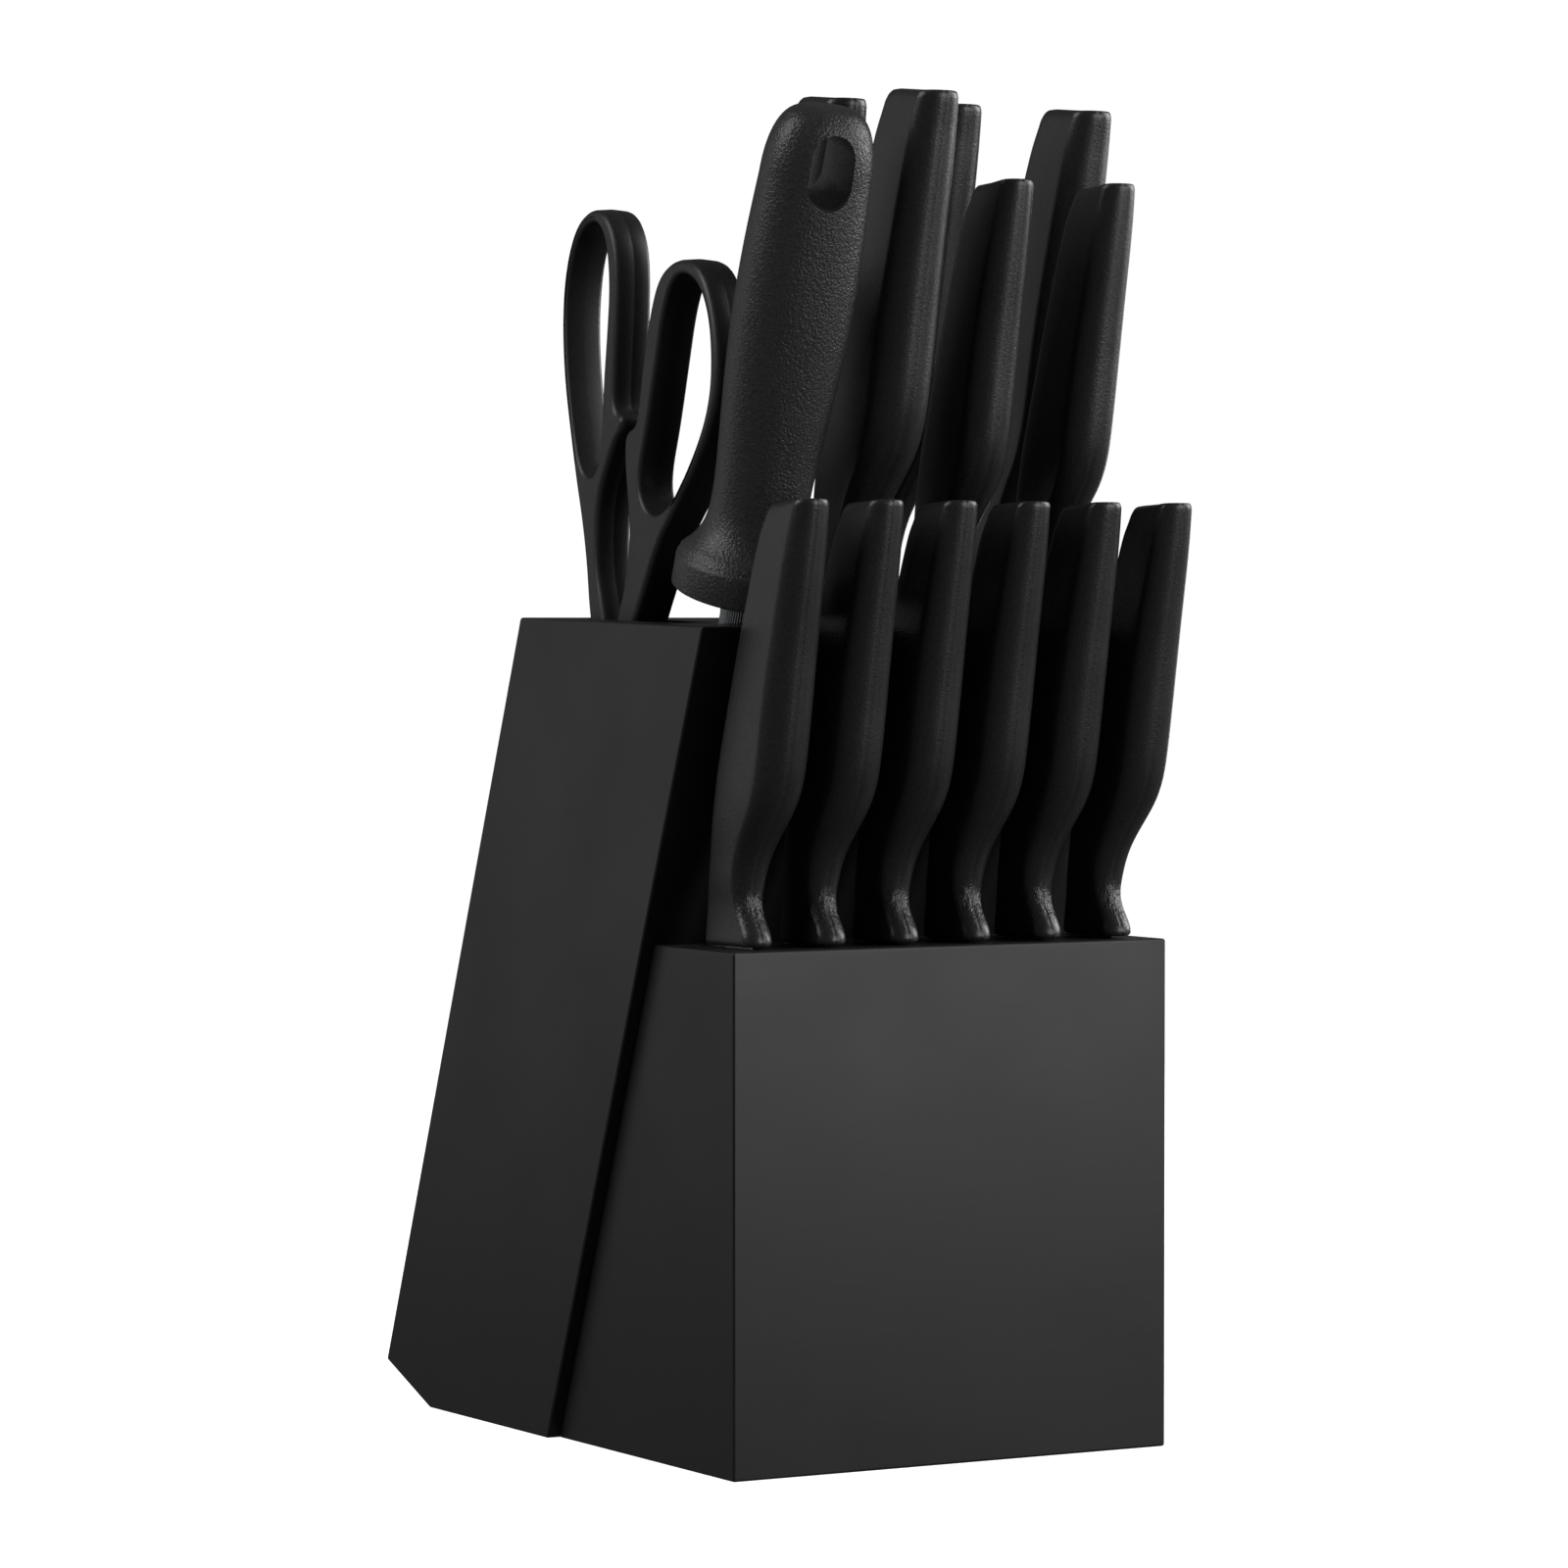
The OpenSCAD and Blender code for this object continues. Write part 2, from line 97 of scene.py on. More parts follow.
def spline_through(x, y, at):
    """Natural cubic spline through the rows of y at places x, read at the places in at.

    The second derivatives come from one linear system, and are nil at both ends.
    """
    x, y, at = np.asarray(x, float), np.asarray(y, float), np.asarray(at, float)
    n, h = len(x), np.diff(x)
    system, right = np.eye(n), np.zeros_like(y)
    i = np.arange(1, n - 1)
    system[i, i - 1], system[i, i], system[i, i + 1] = h[:-1], 2 * (h[:-1] + h[1:]), h[1:]
    right[1:-1] = 6 * np.diff(np.diff(y, axis=0) / h[:, None], axis=0)
    bend = np.linalg.solve(system, right)
    k = np.clip(np.searchsorted(x, at) - 1, 0, n - 2)
    step = h[k][:, None]
    a, b = (x[k + 1] - at)[:, None], (at - x[k])[:, None]
    return (
        (bend[k] * a**3 + bend[k + 1] * b**3) / (6 * step)
        + (y[k] / step - bend[k] * step / 6) * a
        + (y[k + 1] / step - bend[k + 1] * step / 6) * b
    )


# ---- Meshes ----

def ring_faces(rings, around):
    """Quads between neighbouring closed rings of points, wound to face outwards when the rings
    run anticlockwise seen from the last one."""
    i, j = np.meshgrid(np.arange(rings - 1), np.arange(around), indexing="ij")
    a, b = i * around + j, i * around + (j + 1) % around
    return np.stack([a, b, b + around, a + around], -1).reshape(-1, 4).tolist()


def closed_mesh(name, points, faces, values=None):
    """A closed mesh from points in millimetres. Points that coincide are merged first, so seams
    and poles close, and faces are turned outwards. values holds named numbers for each point."""
    mesh = bpy.data.meshes.new(name)
    mesh.from_pydata((np.asarray(points) * MM).tolist(), [], faces)
    for key, numbers in (values or {}).items():
        mesh.attributes.new(key, "FLOAT", "POINT").data.foreach_set(
            "value", np.asarray(numbers, np.float32).ravel())
    shape = bmesh.new()
    shape.from_mesh(mesh)
    bmesh.ops.remove_doubles(shape, verts=shape.verts, dist=MERGE)
    bmesh.ops.recalc_face_normals(shape, faces=shape.faces)
    shape.to_mesh(mesh)
    shape.free()
    return mesh


def shade_smooth(mesh, sharp):
    """Smooth shading, with the edges that turn by more than sharp degrees kept sharp."""
    mesh.polygons.foreach_set("use_smooth", np.ones(len(mesh.polygons), bool))
    mesh.set_sharp_from_angle(angle=math.radians(sharp))


def make_piece(name, points, faces, material, body, replaced, slot, sharp, values=None):
    """A piece from the points of a closed mesh, in millimetres, and its faces."""
    mesh = closed_mesh(name, points, faces, values)
    return finish_piece(name, mesh, material, body, replaced, sharp)


def ring_piece(name, rings, *looks):
    """A piece from closed rings of points."""
    return make_piece(name, rings.reshape(-1, 3), ring_faces(*rings.shape[:2]), *looks)


def finish_piece(name, mesh, material, body, replaced, sharp):
    """Gives a mesh its shading, material and body, and puts it in the scene."""
    shade_smooth(mesh, sharp)
    mesh.materials.clear()
    mesh.materials.append(material)
    piece = bpy.data.objects.new(name, mesh)
    bpy.context.scene.collection.objects.link(piece)
    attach(piece, body)
    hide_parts(*replaced)
    return piece


# ---- Materials ----

def add_node(tree, kind, inputs=None, **settings):
    """Adds a node. inputs names its sockets with a number or colour, or with the output that
    feeds them."""
    node = tree.nodes.new(kind)
    for key, value in settings.items():
        setattr(node, key, value)
    for key, value in (inputs or {}).items():
        if isinstance(value, bpy.types.NodeSocket):
            tree.links.new(value, node.inputs[key])
        else:
            node.inputs[key].default_value = value
    return node


def new_material(name, **sockets):
    """An empty material with one Principled shader, its sockets set, and its node tree."""
    material = bpy.data.materials.new(name)
    material.use_nodes = True
    tree = material.node_tree
    tree.nodes.clear()
    shader = add_node(tree, "ShaderNodeBsdfPrincipled",
                      {key.replace("_", " ").title().replace("Ior", "IOR"): value
                       for key, value in sockets.items()})
    add_node(tree, "ShaderNodeOutputMaterial", {"Surface": shader.outputs[0]})
    return material, tree, shader


def pattern(tree, size_mm, turn=(0, 0, 0), detail=2.0, rough=0.5):
    """Noise whose blotches have the given size in millimetres along each turned axis."""
    place = add_node(tree, "ShaderNodeTexCoord").outputs["Object"]
    scaled = add_node(tree, "ShaderNodeMapping", {
        "Vector": place, "Rotation": turn, "Scale": [s * MM for s in size_mm]},
        vector_type="TEXTURE").outputs[0]
    return add_node(tree, "ShaderNodeTexNoise", {
        "Vector": scaled, "Scale": 1.0, "Detail": detail, "Roughness": rough}).outputs["Fac"]


def spread(tree, factor, low, high, start=0.3, end=0.7):
    """A number that runs from low to high as the factor runs from start to end."""
    return add_node(tree, "ShaderNodeMapRange", {
        "Value": factor, "From Min": start, "From Max": end, "To Min": low, "To Max": high}
    ).outputs[0]


def blend_colours(tree, factor, first, second, start=0.3, end=0.7):
    """A colour between two as the factor runs from start to end."""
    ramp = add_node(tree, "ShaderNodeValToRGB", {"Fac": factor})
    ramp.color_ramp.elements[0].position, ramp.color_ramp.elements[1].position = start, end
    ramp.color_ramp.elements[0].color = (*first, 1)
    ramp.color_ramp.elements[1].color = (*second, 1)
    return ramp.outputs[0]


def shade(colour, amount):
    """A colour made lighter or darker by a factor."""
    return tuple(c * amount for c in colour)


def lacquered_wood(name, settings, along):
    """Rubberwood sprayed with satin black lacquer.

    The lacquer hides the colour of the wood, but sinks a little into its pores: long faint
    streaks show in the sheen and in the relief, over a fine spray ripple.
    """
    material, tree, shader = new_material(name, ior=1.5)
    # Grain streaks are 45 mm by grain_mm. They run along X on the front panel, and up and back,
    # LEAN from upright, elsewhere.
    length, width = 45, settings.grain_mm
    size = (length, width, width) if along == "X" else (width, width, length)
    streaks = pattern(tree, size, (-LEAN if along == "Z" else 0, 0, 0), 4, 0.6)
    # Rubbing and handling leave 30 mm blotches in the sheen.
    blotches = pattern(tree, (30, 30, 30), detail=3)
    # The spray ripple, or orange peel, is about 1.4 mm across.
    ripple = pattern(tree, (1.4, 1.4, 1.4), detail=1)
    base = tuple(settings.lacquer_colour)
    tree.links.new(blend_colours(tree, streaks, shade(base, 0.92), shade(base, 1.08)),
                   shader.inputs["Base Color"])
    rough = add_node(tree, "ShaderNodeMath", {
        0: spread(tree, streaks, -0.015, 0.015), 1: spread(tree, blotches, 0.35, 0.42)},
        operation="ADD").outputs[0]
    tree.links.new(rough, shader.inputs["Roughness"])
    relief = add_node(tree, "ShaderNodeBump", {
        "Height": streaks, "Strength": 0.12, "Distance": 0.05 * MM}).outputs[0]
    relief = add_node(tree, "ShaderNodeBump", {
        "Height": ripple, "Strength": 0.12, "Distance": 0.03 * MM, "Normal": relief}).outputs[0]
    tree.links.new(relief, shader.inputs["Normal"])
    return material


def moulded_plastic(name, colour, grain_mm, depth_mm, roughness, notch=False):
    """Black polypropylene or ABS moulded against a spark-eroded tool.

    The tool leaves a fine pebbled grain that breaks the gloss into a soft sheen. Where the mould
    halves meet near a knife's foot the tool is polished, so the plastic shines there and its
    flash is crumpled.
    """
    material, tree, shader = new_material(name, ior=1.49)
    pebbles = pattern(tree, (grain_mm,) * 3, detail=2, rough=0.55)
    drift = pattern(tree, (14, 14, 14), detail=2)
    base = tuple(colour)
    tree.links.new(blend_colours(tree, pebbles, shade(base, 0.75), shade(base, 1.3)),
                   shader.inputs["Base Color"])
    rough = spread(tree, drift, roughness - 0.03, roughness + 0.03)
    relief = add_node(tree, "ShaderNodeBump", {
        "Height": pebbles, "Strength": 1.0, "Distance": depth_mm * MM}).outputs[0]
    if notch:
        shine = add_node(tree, "ShaderNodeAttribute", attribute_name="notch").outputs["Fac"]
        rough = add_node(tree, "ShaderNodeMath", {
            0: rough, 1: spread(tree, shine, 1, 0.75, 0, 1)}, operation="MULTIPLY").outputs[0]
        # The crumpled flash is 1.6 mm from crease to crease.
        creases = pattern(tree, (1.6, 1.6, 2.4), detail=3, rough=0.7)
        relief = add_node(tree, "ShaderNodeBump", {
            "Height": creases, "Strength": shine, "Distance": 0.7 * MM, "Normal": relief}
        ).outputs[0]
    tree.links.new(rough, shader.inputs["Roughness"])
    tree.links.new(relief, shader.inputs["Normal"])
    return material


def ground_steel(name, settings):
    """Stainless blade steel, ground at a slant across the blade and lightly brushed.

    The belt leaves hair lines, down and back by LEAN, that draw the highlights out along it.
    """
    material, tree, shader = new_material(name, metallic=1.0)
    # Belt lines are really about 0.05 mm apart, and are drawn at 0.25 mm so that they show.
    lines = pattern(tree, (3, 25, 0.25), (-LEAN, 0, 0), 3, 0.6)
    base = tuple(settings.steel_colour)
    tree.links.new(blend_colours(tree, lines, shade(base, 0.88), shade(base, 1.08)),
                   shader.inputs["Base Color"])
    tree.links.new(spread(tree, lines, 0.2, 0.36), shader.inputs["Roughness"])
    tree.links.new(add_node(tree, "ShaderNodeBump", {
        "Height": lines, "Strength": 0.3, "Distance": 0.02 * MM}).outputs[0],
        shader.inputs["Normal"])
    return material


def plated_steel(name, colour, roughness, blotch_mm):
    """Steel plated with chrome or nickel over a satin polish: a soft sheen, faintly hazed."""
    material, tree, shader = new_material(name, metallic=1.0)
    haze = pattern(tree, (blotch_mm,) * 3, detail=3)
    base = tuple(colour)
    tree.links.new(blend_colours(tree, haze, shade(base, 0.94), shade(base, 1.04)),
                   shader.inputs["Base Color"])
    tree.links.new(spread(tree, haze, roughness * 0.7, roughness * 1.3),
                   shader.inputs["Roughness"])
    return material


# ---- Settings ----

class BlockSettings(bpy.types.PropertyGroup):
    """Sizes and finish of the wooden block."""
    edge_radius: FloatProperty(
        name="Edge Radius", description="Rounding of the block's outer edges",
        default=0.6 * MM, min=0.1 * MM, max=1.5 * MM, unit="LENGTH", subtype="DISTANCE")
    grain_mm: FloatProperty(
        name="Grain Width", description="Width of the wood's streaks in millimetres",
        default=0.9, min=0.3, max=3)
    lacquer_colour: FloatVectorProperty(
        name="Lacquer", description="Colour of the lacquer", subtype="COLOR",
        default=linear("#232325"), min=0, max=1)


class HandleSettings(bpy.types.PropertyGroup):
    """Sizes and finish of the knives' handles."""
    end_radius: FloatProperty(
        name="End Radius", description="Rounding where a handle's flanks meet its end",
        default=0.7 * MM, min=0.5 * MM, max=2 * MM, unit="LENGTH", subtype="DISTANCE")
    seam_depth: FloatProperty(
        name="Seam Depth", description="Depth of the mould's parting line along the belly",
        default=0.16 * MM, min=0, max=0.3 * MM, unit="LENGTH", subtype="DISTANCE")
    plastic_colour: FloatVectorProperty(
        name="Plastic", description="Colour of the handles' plastic", subtype="COLOR",
        default=linear("#2c2c2d"), min=0, max=1)


class BladeSettings(bpy.types.PropertyGroup):
    """Grind and finish of the blades."""
    edge_thickness: FloatProperty(
        name="Edge Thickness", description="Thickness of a blade behind its cutting edge",
        default=0.24 * MM, min=0.1 * MM, max=0.6 * MM, unit="LENGTH", subtype="DISTANCE")
    steel_colour: FloatVectorProperty(
        name="Blade Steel", description="Colour of the blades", subtype="COLOR",
        default=linear("#c9cbcd"), min=0, max=1)


class SteelSettings(bpy.types.PropertyGroup):
    """Sizes and finish of the sharpening steel."""
    rib_depth: FloatProperty(
        name="Rib Depth", description="Depth of the fine ribs along the rod",
        default=0.18 * MM, min=0, max=0.4 * MM, unit="LENGTH", subtype="DISTANCE")
    grain_mm: FloatProperty(
        name="Handle Grain", description="Size of the handle's pebbled grain in millimetres",
        default=0.65, min=0.3, max=2)
    plastic_colour: FloatVectorProperty(
        name="Plastic", description="Colour of the steel's handle", subtype="COLOR",
        default=linear("#3b3b3c"), min=0, max=1)
    chrome_colour: FloatVectorProperty(
        name="Chrome", description="Colour of the rod's plating", subtype="COLOR",
        default=linear("#a4a6a8"), min=0, max=1)


class ShearsSettings(bpy.types.PropertyGroup):
    """Sizes and finish of the shears."""
    edge_radius: FloatProperty(
        name="Edge Radius", description="Rounding of the loops' edges",
        default=1.3 * MM, min=0.4 * MM, max=2 * MM, unit="LENGTH", subtype="DISTANCE")
    crown: FloatProperty(
        name="Crown", description="Swell of the loops' sides between their two faces",
        default=0.5 * MM, min=0, max=1 * MM, unit="LENGTH", subtype="DISTANCE")
    plastic_colour: FloatVectorProperty(
        name="Plastic", description="Colour of the shears' plastic", subtype="COLOR",
        default=linear("#2b2b2c"), min=0, max=1)


class StageSettings(bpy.types.PropertyGroup):
    """Studio round the object."""
    right_power: FloatProperty(
        name="Right Lights", description="Brightness of the softboxes on the right",
        default=1, min=0, subtype="FACTOR", max=4)
    left_power: FloatProperty(
        name="Left Lights", description="Brightness of the softboxes on the left",
        default=1, min=0, subtype="FACTOR", max=4)
    backdrop_colour: FloatVectorProperty(
        name="Backdrop", description="Colour of the floor and backdrop", subtype="COLOR",
        default=linear("#f4f4f3"), min=0, max=1)


# ---- Block ----

# Metres that a corner may stand beyond a face's plane and still be on it
ON_PLANE = 2e-5
# Faces of a board that turn by less than this are one
COPLANAR = math.radians(0.5)


def outer_edges(shape, corners):
    """Edges of a board whose two faces both lie on the outside of its block: no corner of the
    block is beyond either face's plane."""
    outside = set()
    for face in shape.faces:
        beyond = (corners - np.array(face.verts[0].co)) @ np.array(face.normal)
        if beyond.max() < ON_PLANE:
            outside.add(face)
    return [e for e in shape.edges if len(e.link_faces) == 2 and set(e.link_faces) <= outside]


class KNIFEBLOCK_OT_block(bpy.types.Operator):
    """Build the lacquered boards of both blocks, with their outer edges rounded"""
    bl_idname = "knife_block.block"
    bl_label = "Block"

    def execute(self, context):
        settings = context.scene.knife_block_wood
        across = lacquered_wood("satin_lacquered_wood_panel", settings, "X")
        upright = lacquered_wood("satin_lacquered_wood", settings, "Z")
        for boards in (FRONT_BOARDS, REAR_BOARDS):
            corners = np.concatenate([
                np.array([v.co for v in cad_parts[n].data.vertices]) for n in boards])
            for node in boards:
                self.make_board(node, corners, across if node == "front_panel" else upright,
                                settings.edge_radius)
        return {"FINISHED"}

    @staticmethod
    def make_board(node, corners, material, radius):
        """A copy of the CAD board, merged to plain faces, with its outer edges rounded."""
        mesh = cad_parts[node].data.copy()
        mesh.name = f"{node}_lacquered"
        shape = bmesh.new()
        shape.from_mesh(mesh)
        bmesh.ops.remove_doubles(shape, verts=shape.verts, dist=MERGE)
        bmesh.ops.dissolve_limit(
            shape, angle_limit=COPLANAR, verts=shape.verts, edges=shape.edges)
        weight = shape.edges.layers.float.new("bevel_weight_edge")
        for edge in outer_edges(shape, corners):
            edge[weight] = 1.0
        shape.to_mesh(mesh)
        shape.free()
        board = finish_piece(mesh.name, mesh, material, "block", [node], 30)
        rounding = board.modifiers.new("rounded_edges", "BEVEL")
        rounding.limit_method = "WEIGHT"
        rounding.width = radius
        rounding.segments = 3
        rounding.harden_normals = True


# ---- Knife handles ----

# [height, front, back, thickness] of a steak knife's handle above the middle of its foot
HANDLE_RINGS = np.array([
    [0, -13, 7.7, 8], [2.5, -12.6, 7.6, 7.8], [6, -10.4, 7.4, 7.4], [9.5, -8.7, 6.8, 7.6],
    [14, -8.8, 5.6, 8.8], [21, -11.6, 3.6, 10.2],
    [27, -16.4, 1.8, 11.6], [32, -20.8, 0.2, 12.6], [38, -24.2, -1.6, 13.3],
    [45, -26.2, -3.7, 13.5], [57, -28.6, -7.6, 13.4], [78, -33, -14, 12.2],
    [98, -37.4, -20.8, 10.2], [104, -38.6, -23, 9],
])
# Its height, its greatest thickness, and its foot's reach behind the foot's middle
HANDLE_TOP, HANDLE_THICK, FOOT_BACK = 104, 13.5, 7.7
# Heights that the rounding at the foot and at the end take
FOOT_ROUND, END_ROUND = 1.2, 1.6
# Roundings as shares of a section's half thickness, and at most of its depth
BELLY_ROUND, BELLY_MOST = 0.94, 0.42
SPINE_ROUND, SPINE_MOST = 0.27, 0.3
# Depth of the belly's rounding as a share of its width
BELLY_BLUNT = 0.76
# Share of a closing ring's inset that also narrows it from belly to spine
END_NARROWS = 0.12
# Height below the end over which the end's slant or S grows
END_REACH = 9
# Height of the polished notch over the foot, and its spread
NOTCH_AT, NOTCH_SPREAD = 9, 4
# Large handles lean this much further forward than small ones
LARGE_DROOP = math.radians(1)
# Half thickness in millimetres that counts as closed
NIL = 1e-3


def handle_levels(end_radius):
    """Height and inset of each ring: a rounded foot, the grip, a rounded end, and caps that
    close on the middle line. A cap's inset is given as a share of the half thickness."""
    turn = np.radians([20, 40, 60, 75, 90])
    round_from = HANDLE_TOP - END_ROUND
    grip = np.linspace(FOOT_ROUND, round_from, 84)
    heights = np.concatenate([
        [0, 0, 0.15, 0.5], grip, round_from + END_ROUND * np.sin(turn), [HANDLE_TOP] * 3])
    inset = np.concatenate([
        [0, 0.9, 0.5, 0.15], 0 * grip, end_radius * (1 - np.cos(turn)), [0, 0, 0]])
    closed = np.zeros(len(heights))
    closed[0], closed[-3:] = 1, (0.5, 0.78, 1)
    inset[-3:] = end_radius
    return heights, inset, closed


def handle_section(front, back, half, seam):
    """One ring's outline, anticlockwise from the belly: a blunt oval belly, flat flanks, tight
    corners at the spine and a flat spine. The belly's middle is let in along the parting line.

    front, back and half are columns, one row a ring, and the result holds x and y.
    """
    belly = np.minimum(half * BELLY_ROUND, (back - front) * BELLY_MOST)
    nose = belly * BELLY_BLUNT
    spine = np.minimum(half * SPINE_ROUND, (back - front) * SPINE_MOST)
    arc = np.concatenate([[0], np.radians([3, 6.5]), np.radians(np.linspace(12, 90, 12))])
    flank = np.linspace(0, 1, 12)[1:-1]
    corner = np.radians(np.linspace(0, 90, 7))
    x = [half - belly + belly * np.sin(arc), half + 0 * flank,
         half - spine + spine * np.cos(corner), half * [0.4, 0.0]]
    y = [front + nose - nose * np.cos(arc),
         front + nose + (back - spine - front - nose) * flank,
         back - spine + spine * np.sin(corner), back + 0 * half * [1, 1]]
    x, y = np.concatenate(x, 1), np.concatenate(y, 1)
    x[:, 0] = 0
    y[:, 0] += seam
    right = np.stack([x, y], -1)
    left = right[:, -2:0:-1] * [-1, 1]
    return np.concatenate([right, left], 1)


def handle_points(place, scale, droop, large, settings):
    """Every point of a handle, ring by ring, and how far each is into the polished notch.

    A ring's outline follows the spline through HANDLE_RINGS. Over END_REACH the points sink. On
    small handles they sink by a slant towards the spine, and by a crown that grows with the
    fourth power of the distance from the middle plane. On large handles they sink by an S along
    the end: low over the belly, high behind it, and falling at the spine.
    """
    radius = settings.end_radius / MM
    heights, inset, closed = handle_levels(radius)
    front, back, thick = spline_through(
        HANDLE_RINGS[:, 0], HANDLE_RINGS[:, 1:], heights).T[:, :, None]
    half = thick / 2
    gone = inset[:, None] + (half - inset[:, None]) * closed[:, None]
    lengthwise = inset[:, None] + (gone - inset[:, None]) * END_NARROWS
    narrow = np.maximum(half - gone, 0)
    # Points on the closing rings still need a section to follow, so its half is kept above nil.
    outline = handle_section(front + lengthwise, back - lengthwise,
                             np.maximum(narrow, NIL), settings.seam_depth / MM)
    outline[..., 0] *= (narrow > NIL)
    depth = np.clip((outline[..., 1] - front) / (back - front), 0, 1)
    across = np.clip(np.abs(outline[..., 0]) / half, 0, 1)
    near_end = smooth_step((heights[:, None] - HANDLE_TOP + END_REACH) / END_REACH)
    if large:
        end = -0.9 * smooth_step((0.72 - depth) / 0.5) - 1.2 * smooth_step((depth - 0.85) / 0.15)
    else:
        end = -0.5 * depth - 1.7 * across**4 * np.clip((depth - 0.1) / 0.9, 0, 1)
    z = (heights[:, None] + end * near_end) * scale
    points = np.stack([
        place[0] + outline[..., 0] * scale,
        place[1] + outline[..., 1] * scale - heights[:, None] * scale * math.tan(droop),
        place[2] + z], -1)
    notch = np.exp(-(((heights[:, None] - NOTCH_AT) / NOTCH_SPREAD) ** 2))
    notch = notch * smooth_step(1 - 3.2 * depth)
    return points, notch


class KNIFEBLOCK_OT_handles(bpy.types.Operator):
    """Build the twelve knife handles"""
    bl_idname = "knife_block.handles"
    bl_label = "Knife Handles"

    def execute(self, context):
        settings = context.scene.knife_block_handles
        # The mould's real grain is finer, and is drawn at 0.6 mm so that it shows.
        material = moulded_plastic("grained_polypropylene", settings.plastic_colour,
                                   grain_mm=0.6, depth_mm=0.06, roughness=0.33, notch=True)
        for knife in LARGE_KNIVES + SMALL_KNIVES:
            node = f"{knife}_handle"
            low, high = box_mm(node)
            scale = (high[0] - low[0]) / HANDLE_THICK
            place = ((low[0] + high[0]) / 2, high[1] - FOOT_BACK * scale, low[2])
            large = knife in LARGE_KNIVES
            droop = LARGE_DROOP if large else 0
            points, notch = handle_points(place, scale, droop, large, settings)
            ring_piece(f"{knife}_grip", points, material, knife, [node], "handle_plastic", 50,
                       {"notch": notch})
        return {"FINISHED"}


# ---- Blades ----

# Spine and width square to the slot, length, tip below the spine, serration pitch and depth
BLADES = {
    "slicing_knife": (14, 27, 200, 3, 0, 0),
    "carving_knife": (10.3, 20.6, 190, 2, 0, 0),
    "bread_knife": (15, 30, 200, 12, 7, 1.3),
    "chef_knife": (17, 34, 200, 1, 0, 0),
    "utility_knife": (9.5, 20, 140, 2, 0, 0),
    "paring_knife": (9.5, 18.5, 90, 2, 0, 0),
    "steak_knife": (10, 18, 114, 4, 2.6, 0.55),
}
# Share of a blade's length along which the edge is straight
EDGE_STRAIGHT = 0.62
# Share of its width from the spine down which the sides are parallel
GRIND_FROM = 0.4
# Half width and length of a tang in a steak knife, and its lean forward
TANG_HALF, TANG_LEN, TANG_LEAN = 5, 55, math.radians(14.5)


def blade_edges(sizes, along):
    """Spine and edge of a blade as places across (u) and down (w) its slot.

    The spine runs straight to the last few millimetres and turns to the point. The edge runs
    straight for EDGE_STRAIGHT of the length and curves up as a quarter ellipse, with scallops
    cut into it on a serrated blade.
    """
    spine, width, length, tip, pitch, bite = sizes
    edge, point = spine - width, spine - tip
    turn = length - 2.5 * tip
    w = spine * math.tan(LEAN) * (1 - along) + length * along
    u = spine - tip * np.clip((w - turn) / (length - turn), 0, 1)
    belly = length * EDGE_STRAIGHT
    bottom = edge * math.tan(LEAN) * (1 - along) + length * along
    ease = np.clip((bottom - belly) / (length - belly), 0, 1)
    cut = edge + (point - edge) * (1 - np.sqrt(1 - ease**2))
    if pitch:
        fade = smooth_step((bottom - 8) / 6) * smooth_step((length - 8 - bottom) / 12)
        cut = cut + bite * np.abs(np.sin(math.pi * bottom / pitch)) * fade
    return np.stack([u, w], -1), np.stack([np.minimum(cut, u), bottom], -1)


def blade_points(place, sizes, thick, tang, edge_thick):
    """Closed rings down a blade: over one side from spine to edge and back over the other.

    The sides are parallel for GRIND_FROM of the width, then close evenly to the edge. The first
    rings are the tang, which leans forward inside the handle. A scalloped edge has more rings.
    """
    length, pitch = sizes[2], sizes[4]
    spacing = 0.3 if pitch else 1.5
    along = 1 - (1 - np.linspace(0, 1, int(length / spacing))) ** 1.02
    spine, edge = blade_edges(sizes, along)
    r = np.array([0, 0.02, 0.2, GRIND_FROM, 0.55, 0.7, 0.85, 0.93, 1.0])
    uw = spine[:, None] + (edge - spine)[:, None] * r[None, :, None]
    y = uw[..., 0] * math.cos(LEAN) + uw[..., 1] * math.sin(LEAN)
    z = uw[..., 0] * math.sin(LEAN) - uw[..., 1] * math.cos(LEAN)
    grind = 1 - np.clip((r - GRIND_FROM) / (1 - GRIND_FROM), 0, 1) * (1 - edge_thick / thick)
    grind[0] = 0.86
    taper = 1 - 0.45 * smooth_step((along - 0.55) / 0.45)
    x = thick / 2 * grind[None, :] * taper[:, None]
    heights = np.array([1, 0.99, 0.5, 0.002])[:, None] * tang[1]
    half = tang[0] * (1 - 0.3 * heights / tang[1])
    shift = -heights * math.tan(TANG_LEAN)
    tang_y = shift + half * (1 - 2 * r[None, :])
    tang_x = np.array([0, 0.45, 0.45, 0.45])[:, None] * thick + 0 * tang_y
    x, y = np.concatenate([tang_x, x]), np.concatenate([tang_y, y])
    z = np.concatenate([heights + 0 * tang_y, z])
    side = np.stack([x, y, z], -1)
    return np.concatenate([side, side[:, ::-1] * [-1, 1, 1]], 1) + place


